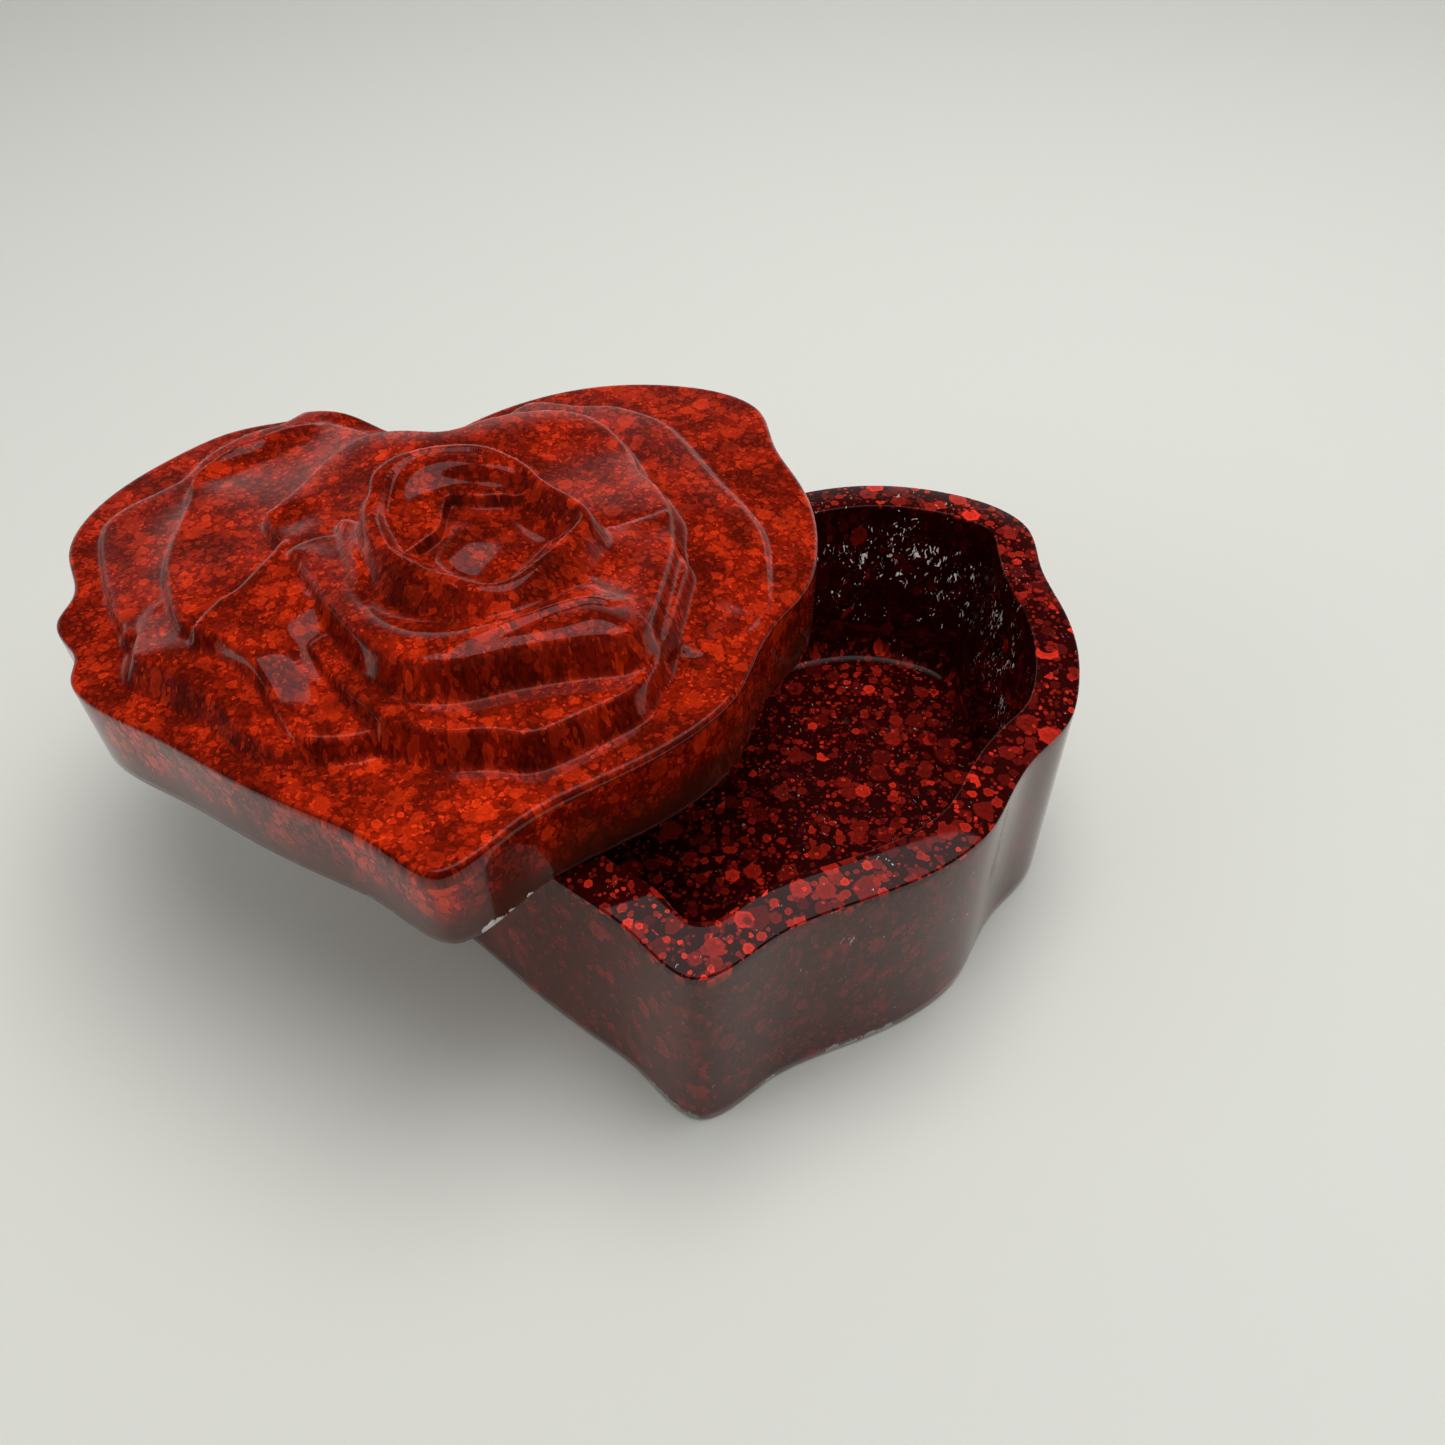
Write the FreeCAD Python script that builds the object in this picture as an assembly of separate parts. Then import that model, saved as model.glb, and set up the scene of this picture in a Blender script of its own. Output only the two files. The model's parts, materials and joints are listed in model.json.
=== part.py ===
import FreeCAD, Part
import math
import os

# Heart-shaped keepsake box cast in resin: a hollow base, and a loose lid with a rose carved on it.
# Millimetres. +X runs across the heart, -Y towards its tip, +Z up. Origin: middle of the foot.

# Heart, the same outline for both castings
heart_width = 120.0
heart_depth = 108.0

# Base
base_height = 42.0
foot_flare = 0.8
wall = 7.2
cavity_draft = 3.3
floor_thickness = 7.0
floor_round = 3.0
rim_round = 0.8

# Lid slab
lid_thickness = 16.0
lid_edge_round = 1.0

# Rose: height of each petal's edge above the slab, and how far its flank leans out to its foot
side_petals_rise = 1.6
low_left_petal_rise = 3.4
left_petal_rise = 4.6
front_petal_rise = 5.2
curled_petal_rise = 6.2
back_petals_rise = 7.2
lip_petal_rise = 9.4
bud_rise = 13.4
flank_lean = 1.4
petal_bevel = 0.7
bud_bowl_depth = 4.2

# Where the lid lies: swung open across the rim, about a point in front of the box
swing_angle = 10.3
swing_centre_x = -46.0
swing_centre_y = -227.5

# Outlines below are shares of half the heart's width and half its depth, anticlockwise from above
HEART = [
    (-0.055, 0.770), (-0.125, 0.805), (-0.200, 0.880), (-0.285, 0.952), (-0.370, 0.983), (-0.455, 0.980),
    (-0.620, 0.948), (-0.763, 0.848), (-0.887, 0.717), (-0.978, 0.554), (-0.998, 0.380), (-0.960, 0.168),
    (-0.980, 0.085), (-0.952, 0.000), (-0.914, -0.080), (-0.911, -0.160), (-0.877, -0.233),
    (-0.707, -0.400), (-0.523, -0.580), (-0.340, -0.740), (-0.220, -0.845), (-0.135, -0.945),
    (-0.060, -0.995), (0.015, -0.968), (0.125, -0.875), (0.350, -0.760), (0.570, -0.633), (0.663, -0.535),
    (0.728, -0.413), (0.803, -0.290), (0.910, -0.160), (0.970, 0.000), (0.996, 0.180), (0.985, 0.355),
    (0.957, 0.543), (0.945, 0.763), (0.890, 0.846), (0.728, 0.948), (0.457, 0.994), (0.200, 0.925),
    (0.020, 0.805),
]

# Petals from the slab up to the bud: rise and outline of the petal's edge
PETALS = [
    (side_petals_rise, [
        (-0.72, 0.65), (-0.82, 0.55), (-0.90, 0.50), (-0.90, 0.42), (-0.86, 0.14), (-0.82, -0.02),
        (-0.77, -0.07), (-0.60, 0.05), (-0.60, 0.50)]),
    (side_petals_rise, [
        (0.24, 0.87), (0.10, 0.60), (0.30, -0.20), (0.62, -0.28), (0.76, -0.22), (0.82, -0.10),
        (0.825, 0.04), (0.79, 0.22), (0.72, 0.45), (0.64, 0.70), (0.51, 0.81)]),
    (low_left_petal_rise, [
        (-0.70, 0.18), (-0.75, 0.02), (-0.765, -0.12), (-0.72, -0.21), (-0.625, -0.29), (-0.525, -0.39),
        (-0.445, -0.52), (-0.35, -0.585), (-0.18, -0.59), (-0.20, -0.30), (-0.40, 0.00)]),
    (left_petal_rise, [
        (-0.35, 0.865), (-0.50, 0.83), (-0.62, 0.775), (-0.685, 0.61), (-0.69, 0.45), (-0.71, 0.30),
        (-0.69, 0.11), (-0.66, -0.09), (-0.635, -0.16), (-0.51, -0.29), (-0.43, -0.46), (-0.355, -0.585),
        (-0.20, -0.45), (-0.10, 0.00), (-0.15, 0.60)]),
    (front_petal_rise, [
        (-0.275, -0.355), (-0.20, -0.485), (-0.155, -0.555), (-0.07, -0.605), (0.035, -0.64),
        (0.17, -0.67), (0.25, -0.645), (0.38, -0.59), (0.45, -0.53), (0.485, -0.43), (0.40, -0.20),
        (-0.10, -0.15)]),
    (curled_petal_rise, [
        (-0.385, 0.16), (-0.46, 0.05), (-0.51, -0.02), (-0.575, -0.13), (-0.48, -0.23), (-0.41, -0.38),
        (-0.36, -0.53), (-0.29, -0.605), (-0.17, -0.59), (-0.245, -0.50), (-0.31, -0.365), (-0.30, -0.20),
        (-0.24, 0.05)]),
    (back_petals_rise, [
        (-0.08, 0.645), (-0.21, 0.635), (-0.315, 0.54), (-0.41, 0.335), (-0.435, 0.275), (-0.385, 0.155),
        (-0.20, -0.10), (0.30, -0.10), (0.51, 0.13), (0.53, 0.24), (0.49, 0.45), (0.42, 0.595),
        (0.29, 0.66), (0.17, 0.66), (0.06, 0.63), (-0.02, 0.585)]),
    (lip_petal_rise, [
        (-0.355, 0.06), (-0.32, -0.06), (-0.26, -0.20), (-0.195, -0.33), (-0.125, -0.43), (0.00, -0.49),
        (0.20, -0.475), (0.37, -0.43), (0.49, -0.34), (0.555, -0.20), (0.585, -0.02), (0.55, 0.12),
        (0.45, 0.16), (0.25, -0.05), (-0.15, -0.05)]),
    (bud_rise, [
        (-0.18, 0.20), (-0.18, -0.12), (-0.165, -0.28), (-0.11, -0.38), (0.00, -0.40), (0.12, -0.345),
        (0.24, -0.255), (0.345, -0.13), (0.37, 0.04), (0.32, 0.22), (0.20, 0.33), (0.06, 0.365),
        (-0.09, 0.345)]),
]
BUD_BOWL = [
    (-0.145, 0.16), (-0.13, 0.00), (-0.06, -0.13), (0.06, -0.235), (0.145, -0.245), (0.235, -0.16),
    (0.275, -0.02), (0.26, 0.16), (0.17, 0.285), (0.05, 0.315), (-0.08, 0.285),
]

# How the curves are worked out
INSET_STEPS = 72
INSET_SLACK = 0.05
ROUND_STEPS = 4
CUT_OVERRUN = 1.0
PETAL_ROOT = 1.0


def spline(points):
    """A smooth closed curve through points."""
    curve = Part.BSplineCurve()
    curve.interpolate(Points=points, PeriodicFlag=True)
    return curve


def placed(shares, height):
    """Points of an outline given in shares of the heart's half width and half depth."""
    half_width = heart_width / 2
    half_depth = heart_depth / 2
    return [FreeCAD.Vector(across * half_width, along * half_depth, height) for across, along in shares]


def inset(points, distance):
    """Points a distance inside a closed curve, without those that crowd into its corners."""
    curve = spline(points)
    edge = curve.toShape()
    span = curve.LastParameter - curve.FirstParameter
    kept = []
    for step in range(INSET_STEPS):
        place = curve.FirstParameter + span * step / INSET_STEPS
        along = curve.tangent(place)[0]
        point = curve.value(place) + FreeCAD.Vector(-along.y, along.x, 0) * distance
        if edge.distToShape(Part.Vertex(point))[0] > distance - INSET_SLACK:
            kept.append(point)
    return kept


def loft(*outlines):
    """A solid with straight sides between flat outlines."""
    return Part.makeLoft([Part.Wire(spline(points).toShape()) for points in outlines], True, True)


def grown(points, distance, height):
    """An outline spread by a distance on every side, at another height."""
    xs = [point.x for point in points]
    ys = [point.y for point in points]
    middle_x = (min(xs) + max(xs)) / 2
    middle_y = (min(ys) + max(ys)) / 2
    wider = 1 + 2 * distance / (max(xs) - min(xs))
    deeper = 1 + 2 * distance / (max(ys) - min(ys))
    spread = []
    for point in points:
        across = middle_x + (point.x - middle_x) * wider
        along = middle_y + (point.y - middle_y) * deeper
        spread.append(FreeCAD.Vector(across, along, height))
    return spread


def quarter_round(radius):
    """Steps of a quarter circle from an upright wall to level: how far in and how far up."""
    turns = [math.pi / 2 * step / ROUND_STEPS for step in range(ROUND_STEPS + 1)]
    return [(radius * (1 - math.cos(turn)), radius * math.sin(turn)) for turn in turns]


def make_base():
    """The box: flared walls, a drafted cavity with a rounded floor corner, and a flat rim."""
    rim = placed(HEART, base_height)
    rounding = quarter_round(rim_round)
    shoulder = base_height - rim_round
    over_edge = [grown(rim, -inward, shoulder + up) for inward, up in rounding]
    body = loft(grown(rim, foot_flare, 0.0), *over_edge)
    mouth = inset(rim, wall)
    hollow = quarter_round(floor_round)
    corner = [
        grown(mouth, -cavity_draft - inward, floor_thickness + floor_round - up)
        for inward, up in reversed(hollow)
    ]
    lip = [grown(mouth, inward, shoulder + up) for inward, up in rounding]
    above = grown(mouth, rim_round, base_height + CUT_OVERRUN)
    return body.cut(loft(*corner, *lip, above))


def make_petal(rise, shares, slab_top):
    """One petal of the rose: a low block with leaning flanks and a bevelled edge."""
    edge = placed(shares, slab_top + rise - petal_bevel)
    lean = flank_lean * (rise + PETAL_ROOT) / rise
    foot = grown(edge, lean, slab_top - PETAL_ROOT)
    return loft(foot, edge, grown(edge, -petal_bevel, slab_top + rise))


def make_lid():
    """The lid, closed: a flat slab with rounded edges, the rose's petals in tiers, and the open bud."""
    slab_top = base_height + lid_thickness
    outline = placed(HEART, base_height)
    shoulder = slab_top - lid_edge_round
    over_edge = [grown(outline, -inward, shoulder + up) for inward, up in quarter_round(lid_edge_round)]
    slab = loft(outline, *over_edge)
    petals = [make_petal(rise, shares, slab_top) for rise, shares in PETALS]
    bud_top = slab_top + bud_rise
    bowl_edge = placed(BUD_BOWL, bud_top + CUT_OVERRUN)
    bowl_floor = grown(bowl_edge, -bud_bowl_depth, bud_top - bud_bowl_depth)
    return slab.multiFuse(petals).cut(loft(bowl_floor, bowl_edge))


base = make_base()
lid = make_lid()
swing_centre = FreeCAD.Vector(swing_centre_x, swing_centre_y, 0)
lid.rotate(swing_centre, FreeCAD.Vector(0, 0, 1), swing_angle)

os.makedirs("parts", exist_ok=True)
base.exportStep("parts/box_base.step")
lid.exportStep("parts/rose_lid.step")
for name, shape in (("box_base", base), ("rose_lid", lid)):
    state = "valid" if shape.isValid() else "not valid"
    print(name, len(shape.Solids), "solid", state, round(shape.Volume / 1000, 1), "cm3")
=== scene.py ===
"""Heart-shaped resin keepsake box with a loose lid carved as a rose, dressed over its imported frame."""
import json
import math

import bmesh
import bpy
import numpy as np
from bpy.props import FloatProperty, FloatVectorProperty, IntProperty, PointerProperty
from mathutils import Matrix, Vector, noise


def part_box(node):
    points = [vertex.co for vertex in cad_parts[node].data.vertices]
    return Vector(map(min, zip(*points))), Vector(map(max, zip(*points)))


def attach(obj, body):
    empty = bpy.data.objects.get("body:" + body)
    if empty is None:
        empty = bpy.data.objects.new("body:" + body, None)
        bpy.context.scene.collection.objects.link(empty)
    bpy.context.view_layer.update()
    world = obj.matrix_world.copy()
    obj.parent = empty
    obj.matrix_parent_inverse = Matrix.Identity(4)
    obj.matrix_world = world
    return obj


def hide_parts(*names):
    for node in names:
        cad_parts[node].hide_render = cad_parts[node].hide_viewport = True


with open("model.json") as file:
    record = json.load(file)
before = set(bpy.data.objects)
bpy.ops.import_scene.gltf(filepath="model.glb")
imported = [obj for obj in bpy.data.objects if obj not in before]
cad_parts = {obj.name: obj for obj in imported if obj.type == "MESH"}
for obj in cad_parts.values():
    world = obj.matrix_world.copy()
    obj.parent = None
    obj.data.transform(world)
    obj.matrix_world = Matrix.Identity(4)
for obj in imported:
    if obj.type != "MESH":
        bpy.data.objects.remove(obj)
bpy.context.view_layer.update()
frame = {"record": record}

bl_info = {
    "name": "Heart Keepsake Box",
    "version": (1, 0, 0),
    "blender": (4, 5, 0),
    "location": "View3D > Sidebar > Keepsake",
    "description": "Casts the base and the rose lid of a heart-shaped resin box and sets its stage",
    "category": "Object",
}

MM = 0.001
BASE_NODE = "box_base"
LID_NODE = "rose_lid"
SWING = frame["record"]["behaviour"]["joints"][0]

# How far out level rays start, and how much shorter flakes are counted up a wall
RAY_START = 0.2
WALL_FLAKE_HEIGHT = 0.7

# Flakes: share of bare metal, how much dimmer their middles are, and where that starts and ends
FLAKE_METAL = 0.18
RIM_LIGHT = 0.3
FLAKE_RIM = (0.35, 0.8)

# Slant of a flake's sides, and how much further along than across a layer is shifted
FLAKE_SLANT = (0.5, 0.866)
SHIFT_SLANT = 1.7

# Flakes' tilt, where their edges are full, and how much dim ones outnumber bright ones
LID_FLAKES = (0.25, 0.70, 1.0)
BASE_FLAKES = (0.35, 0.84, 1.8)

# Roughness under the clear coat, and each coat's roughness and index of refraction
BODY_ROUGHNESS = 0.42
LID_COAT = (0.07, 1.41)
BASE_COAT = (0.05, 1.36)

# Noise: its roughness, its middle colour, and the detail of what pushes a map about
NOISE_ROUGHNESS = 0.6
MID_CHANCE = (0.5, 0.5, 0.5)
RAG_DETAIL = 2.0

# Lid's looks: rags are size and push, noises size and detail, spans start and end, ranges gain and lift
LID_RAGS = ((2.6 * MM, 1.3 * MM), (0.6 * MM, 0.5 * MM))
PATCH_NOISE = (8.0 * MM, 4.0)
PATCH_SPAN = (0.34, 0.66)
GRAIN_NOISE = (0.7 * MM, 4.0)
GRAIN_BY_PATCH = 0.12
GRAIN_SPAN = (0.36, 0.66)
FLECK_NOISE = (1.0 * MM, 5.0)
FLECK_BY_PATCH = 0.14
FLECK_SPAN = (0.53, 0.68)
FLECK_DARK = 0.6
CLOUD_NOISE = (0.5 * MM, 3.0)
CLOUD_RANGE = (0.7, 0.65)
CLOUD_BY_PATCH = (0.55, 0.75)
# Painted shade on the rose's steep flanks: the span of facing that counts as steep, the span of depth where
# it fades down the side, and how much darker
FLANK_FACING = (0.85, 0.45)
FLANK_DEPTH = (0.15, 0.0)
FLANK_PAINTED_SHADE = 0.35
BARE_NOISE = (7.0 * MM, 3.0)
BARE_UNEVEN = 0.6
BARE_SPAN = (0.55, 1.15)

# Chips' looks in the same way, and what turns their normals up towards the lamps
CHIP_NOISE = (0.9 * MM, 3.0)
CHIP_SPAN = (0.42, 0.55)
CHIP_TURN = (0.0, 0.0, 2.5)

# Base's looks in the same way
BASE_RAG = (1.2 * MM, 0.6 * MM)
CROWD_NOISE = (16.0 * MM, 2.0)
CROWD_SPAN = (0.30, 0.70)
OUTSIDE_VEIL = 0.8
# Painted shade in the cavity's wall, whose flakes are darkened towards the bare resin: noise, span and
# range
CAVITY_SHADE_NOISE = (9.0 * MM, 2.0)
CAVITY_SHADE_SPAN = (0.3, 0.7)
CAVITY_SHADE_RANGE = (0.2, 0.75)
MOTTLE_RAG = (5.0 * MM, 3.0 * MM)
MOTTLE_NOISE = (4.0 * MM, 3.0)
MOTTLE_SPAN = (0.50, 0.85)
DUST_NOISE = (0.6 * MM, 3.0)
DUST_RANGE = (0.9, 0.55)
STROKE_RAG = (3.0 * MM, 3.0 * MM)
STROKE_SHAPE = (1.0, 0.5, 1.0)
STROKE_NOISE = (0.5 * MM, 2.0)
CLUSTER_NOISE = (3.5 * MM, 2.0)
CLUSTER_SPAN = (0.50, 0.66)
CLUSTER_LIFT = 0.14
SCUFF_LIFT = 0.18
OUTSIDE_DROP = 0.03
SCUFF_SPAN = (0.85, 0.89)

# Card that keeps the floor before the camera out of the reflections: its middle, half its sides, colour
CARD_PLACE = Vector((0.0, -0.22, 0.06))
CARD_HALF = Vector((0.8, 0.06, 1.0, 1.0))
CARD_COLOUR = (0.01, 0.01, 0.01, 1.0)

# Discs that together make a lamp with a soft edge, and the widths of the other lights, metres
LAMP_DISCS = (0.30, 0.36, 0.42, 0.48, 0.54, 0.60)
PANEL_SIZE = 0.7
FILL_SIZE = 0.6

# Floor: half its side, metres, and its roughness and shine
FLOOR_HALF = 3.0
FLOOR_ROUGHNESS = 0.7
FLOOR_SHINE = 0.1

# Colour of the backdrop, and how far out the floor fades into it, metres
BACKDROP_TINT = (1.0, 1.0, 0.96, 1.0)
FLOOR_FADE = (0.65, 1.2)

# Where the sweep round the stage brightens to the back and where it ends upwards, as shares of a direction
SWEEP_BEHIND = (0.25, 0.75)
SWEEP_TOP = (0.60, 0.28)

# Camera: width of its frame, millimetres, and the nearest that it sees, metres
FRAME_WIDTH = 36.0
NEAREST = 0.005

# Plan points that the rings of the base and of the closed lid run round, and the base's first ring
BASE_MIDDLE = (0.0, 0.0)
LID_MIDDLE = (3.0 * MM, 4.0 * MM)
FIRST_SHARE = 0.04

# How many rings the castings have
FLOOR_RINGS = 24
CORNER_RINGS = 6
WALL_RINGS = 23
RIM_EDGE_RINGS = 5
RIM_RINGS = 8
LID_EDGE_RINGS = 7
LID_WALL_RINGS = 10

# How fine the cavity's ripple is, and how far under the rim its mouth is taken, in roundings of the rim
RIPPLE_SCALE = 140.0
MOUTH_DEPTH = 1.5

# Lower edges: where they start, way in and rise of their rings, and how wear varies, lifts and whitens them
EDGE_START = 0.8 * MM
EDGE_STEPS = ((0.25 * MM, 0.35 * MM), (0.8 * MM, 0.0))
WEAR_SCALE = 420.0
WEAR_GAIN = 2.2
WEAR_RISE = 0.7
WEAR_CHIP = 0.55

# Wear of the foot and of the lid's lower edge: height in the noise, how much is spared, how far in it goes
FOOT_WEAR = (0.3, 0.35, 0.3 * MM)
LID_WEAR = (0.7, 0.3, 0.35 * MM)

# Scuffed places in the base's cavity and on its outer wall, millimetres: across, along, height, radius
CAVITY_SCUFFS = [
    (28.0, 46.5, 30.0, 9.0), (37.0, 45.0, 32.0, 9.0), (45.0, 40.5, 28.0, 9.0), (50.5, 24.5, 32.0, 9.0),
    (51.0, 18.5, 26.0, 9.0), (49.0, 13.0, 22.0, 7.0),
]
WALL_SCUFFS = [(18.5, -42.0, 32.5, 2.2), (22.0, -41.0, 29.0, 1.8)]

# Bright chips along the base's foot and along the lid's lower edge, closed lid, in the same way
FOOT_CHIPS = [
    (-10.2, -48.9, 0.3, 1.8), (-8.5, -50.9, 0.3, 2.1), (-6.6, -52.6, 0.3, 2.1), (-4.7, -54.1, 0.3, 2.0),
    (7.4, -47.6, 0.3, 1.6), (18.0, -42.8, 0.3, 2.0), (21.0, -41.4, 0.3, 1.8), (24.1, -39.8, 0.3, 2.2),
    (27.0, -38.4, 0.3, 1.9),
]
LID_CHIPS = [
    (1.2, -52.4, 42.6, 1.8), (2.2, -51.6, 42.6, 1.3), (-18.7, -40.2, 42.4, 0.9), (-14.7, -43.9, 42.4, 1.0),
    (-11.6, -47.1, 42.4, 0.9), (-8.5, -50.4, 42.4, 1.0), (-4.8, -51.6, 43.6, 0.8), (-2.3, -54.8, 42.3, 1.1),
    (4.1, -49.9, 42.4, 0.9), (6.7, -47.7, 42.4, 0.8), (-24.8, -35.9, 42.4, 0.8),
]

# Petals' edges laid out from the photograph, closed lid, mm: across, along, height, swell, steepness
OUTER_LEFT = [
    (-8.5, 45.5, 0.8, 0.1, 0.5), (-16.0, 52.0, 1.5, 0.1, 0.8), (-18.5, 53.0, 1.5), (-24.0, 52.5, 1.4),
    (-28.0, 49.5, 1.4), (-33.5, 47.5, 1.4), (-37.0, 45.0, 1.4), (-40.5, 41.5, 1.3), (-44.0, 35.5, 1.2),
    (-52.5, 29.0, 1.2), (-54.5, 23.5, 1.2), (-52.5, 13.0, 1.5), (-49.5, 3.5, 2.0), (-47.5, -0.5, 2.2),
    (-46.0, -4.0, 2.4), (-38.0, -2.0, 2.6), (-34.0, 15.0, 2.6), (-25.0, 32.0, 2.2),
    (-12.0, 35.0, 1.8, 0.1, 0.5),
]
OUTER_RIGHT = [
    (14.5, 47.0, 1.5), (25.0, 45.0, 1.5), (30.5, 44.0, 1.5), (35.0, 41.0, 1.5), (38.5, 37.5, 1.5),
    (41.0, 32.0, 1.5), (45.0, 19.0, 1.6), (47.5, 12.0, 1.7), (49.5, 2.5, 1.6), (47.5, -12.0, 0.5),
    (44.0, -17.0, 0.1), (38.0, -21.0, -0.3), (30.0, -18.0, 1.0), (10.0, 0.0, 2.0), (5.0, 30.0, 2.0),
]
LOW_LEFT = [
    (-36.0, 8.0, 2.9), (-44.0, 1.0, 2.5), (-44.5, -4.0, 3.1), (-44.0, -10.0, 3.9), (-40.0, -13.0, 4.1),
    (-37.0, -16.0, 4.1), (-32.0, -21.0, 3.4), (-28.5, -26.0, 2.7), (-23.5, -30.0, 2.2),
    (-19.0, -30.5, 2.0), (-12.0, -28.0, 2.0), (-12.0, -15.0, 3.0), (-25.0, 0.0, 3.6),
]
LEFT = [
    (-19.5, 47.5, 1.6, 0.0, 0.9), (-21.5, 47.5, 2.2, -0.2, 0.9), (-26.5, 45.5, 3.2, -0.8, 1.2),
    (-31.0, 42.0, 4.0, -1.5), (-35.0, 39.0, 4.2, -1.6), (-40.0, 32.5, 4.3, -1.0), (-40.5, 25.0, 4.2),
    (-42.0, 12.0, 4.4), (-40.5, 2.0, 4.8), (-38.0, -5.5, 5.0), (-36.5, -7.5, 4.8), (-33.5, -10.0, 4.8),
    (-20.0, -10.0, 5.0), (-10.0, -5.0, 5.0), (-8.0, 20.0, 4.6), (-10.0, 38.0, 3.0),
]
CURLED = [
    (-23.0, 7.5, 7.4), (-25.5, 4.5, 7.4), (-29.5, -2.0, 7.3), (-32.0, -4.0, 7.2), (-35.0, -9.0, 7.0),
    (-32.0, -11.0, 7.0), (-27.5, -16.0, 6.6), (-25.0, -20.5, 5.2), (-23.0, -25.5, 4.2),
    (-20.0, -30.0, 3.7), (-14.5, -31.0, 3.3), (-10.0, -30.5, 3.2), (-7.0, -31.5, 3.2),
    (-9.5, -28.0, 3.3), (-14.5, -20.0, 4.0), (-16.0, -14.0, 5.5), (-15.0, -8.0, 7.2), (-20.0, -4.5, 7.4),
]
FRONT = [
    (-18.5, -14.0, 6.0), (-18.0, -17.0, 6.0), (-15.0, -22.5, 5.9), (-11.5, -27.0, 5.7),
    (-9.0, -30.5, 5.4), (-6.5, -31.5, 5.4), (-1.5, -34.0, 5.2), (5.0, -35.0, 5.2), (10.5, -36.5, 5.2),
    (18.5, -33.5, 5.1), (24.5, -30.5, 4.8), (28.0, -26.0, 4.7, 0.0, 3.0), (30.0, -22.0, 4.8, 0.0, 3.0),
    (34.5, -10.5, 4.8, 0.0, 3.0), (36.0, -5.0, 4.6, 0.0, 3.0), (32.0, 0.0, 4.8), (20.0, -12.0, 5.0),
    (-5.0, -12.0, 5.8), (-13.0, -12.0, 6.0),
]
BACK = [
    (-5.5, 34.0, 7.4), (-9.0, 34.5, 7.2), (-12.5, 34.0, 7.1), (-17.5, 29.5, 7.0), (-22.0, 22.0, 7.1),
    (-25.5, 17.0, 7.2), (-26.5, 15.0, 7.2), (-23.0, 7.5, 7.2), (-18.0, 2.0, 7.4), (0.0, -5.0, 8.0),
    (20.0, -5.0, 7.0), (34.0, 2.5, 7.0), (34.5, 10.5, 6.6), (32.0, 17.5, 5.9), (31.5, 22.5, 5.4),
    (30.0, 28.0, 5.4), (28.0, 32.0, 5.6), (25.0, 35.5, 5.8), (20.0, 37.0, 6.4), (14.0, 36.5, 7.0),
    (9.0, 35.0, 7.4), (1.5, 32.0, 7.8),
]
LIP = [
    (-22.0, 4.5, 8.4, 0.2), (-20.5, 0.5, 8.6, 0.3), (-16.5, -9.0, 9.3, 0.3), (-10.5, -20.0, 10.3, 0.5),
    (-5.5, -25.0, 10.5, 0.5), (1.0, -26.5, 10.5, 0.5), (9.0, -25.5, 10.5, 0.5), (17.0, -25.0, 10.3, 0.5),
    (24.0, -25.0, 9.8, 0.5), (27.0, -23.0, 9.2, 0.5), (29.5, -18.5, 8.5, 0.4, 3.0),
    (34.0, -5.5, 7.6, 0.2, 3.0), (35.0, 0.5, 7.2, 0.1, 3.0), (35.0, 4.5, 7.2), (32.0, 3.5, 7.4),
    (27.0, 1.5, 7.9), (24.0, 0.0, 8.5), (15.0, -8.5, 9.1), (7.0, -12.0, 9.4), (-1.5, -13.5, 9.5),
    (-6.5, -11.5, 9.4), (-9.5, -6.0, 9.1), (-12.0, 2.5, 8.8), (-16.5, 6.5, 8.4),
]
NARROW_FOLD = [
    (-14.8, 9.0, 9.0), (-14.6, 3.4, 9.2), (-13.6, -2.4, 9.4), (-12.4, -8.0, 9.5), (-11.0, -12.4, 9.5),
    (-10.0, -14.4, 9.3), (-9.6, -12.4, 9.5), (-10.6, -6.8, 9.8), (-11.4, -0.2, 9.8), (-11.6, 6.8, 9.4),
]
BUD = [
    (-10.6, 6.0, 13.0), (-9.6, 9.6, 13.4), (-9.2, 13.4, 13.6), (-7.6, 15.6, 13.8), (-4.8, 17.6, 13.9),
    (1.2, 18.6, 14.0), (7.6, 17.4, 14.0), (12.2, 13.8, 13.8), (14.4, 11.2, 13.6), (15.8, 8.4, 13.4),
    (18.0, 5.6, 13.1), (20.6, 3.0, 12.8), (22.4, 0.0, 12.6), (22.6, -2.4, 12.4, 0.2, 1.2),
    (21.2, -4.0, 12.5, 0.2, 1.0), (19.0, -6.8, 12.6, 0.2, 0.85), (14.4, -12.2, 12.9, 0.2, 0.8),
    (10.0, -16.0, 13.1, 0.2, 0.8), (5.6, -16.0, 13.2, 0.2, 0.8), (1.8, -13.6, 13.3, 0.2, 0.8),
    (-1.0, -12.0, 13.3, 0.2, 0.8), (-3.4, -10.0, 13.3, 0.2, 0.8), (-5.2, -8.0, 13.2, 0.2, 0.8),
    (-7.2, -5.0, 13.1, 0.2, 1.1), (-10.0, 1.0, 13.0, 0.2, 1.8),
]
BUD_OVERLAP = [
    (-1.0, -12.1, 13.2, 0.0, 0.9), (1.7, -14.0, 13.3, 0.0, 2.6), (3.4, -15.9, 12.9, 0.0, 2.6),
    (4.7, -16.9, 12.0, 0.0, 2.6), (5.9, -17.4, 10.8, 0.0, 2.6), (6.7, -17.4, 9.7, 0.0, 2.0),
    (5.0, -17.2, 10.2, 0.0, 0.9), (2.9, -16.0, 10.8, 0.0, 0.9), (0.8, -14.6, 11.8, 0.0, 0.9),
    (-0.8, -13.2, 12.5, 0.0, 0.9),
]
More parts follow.
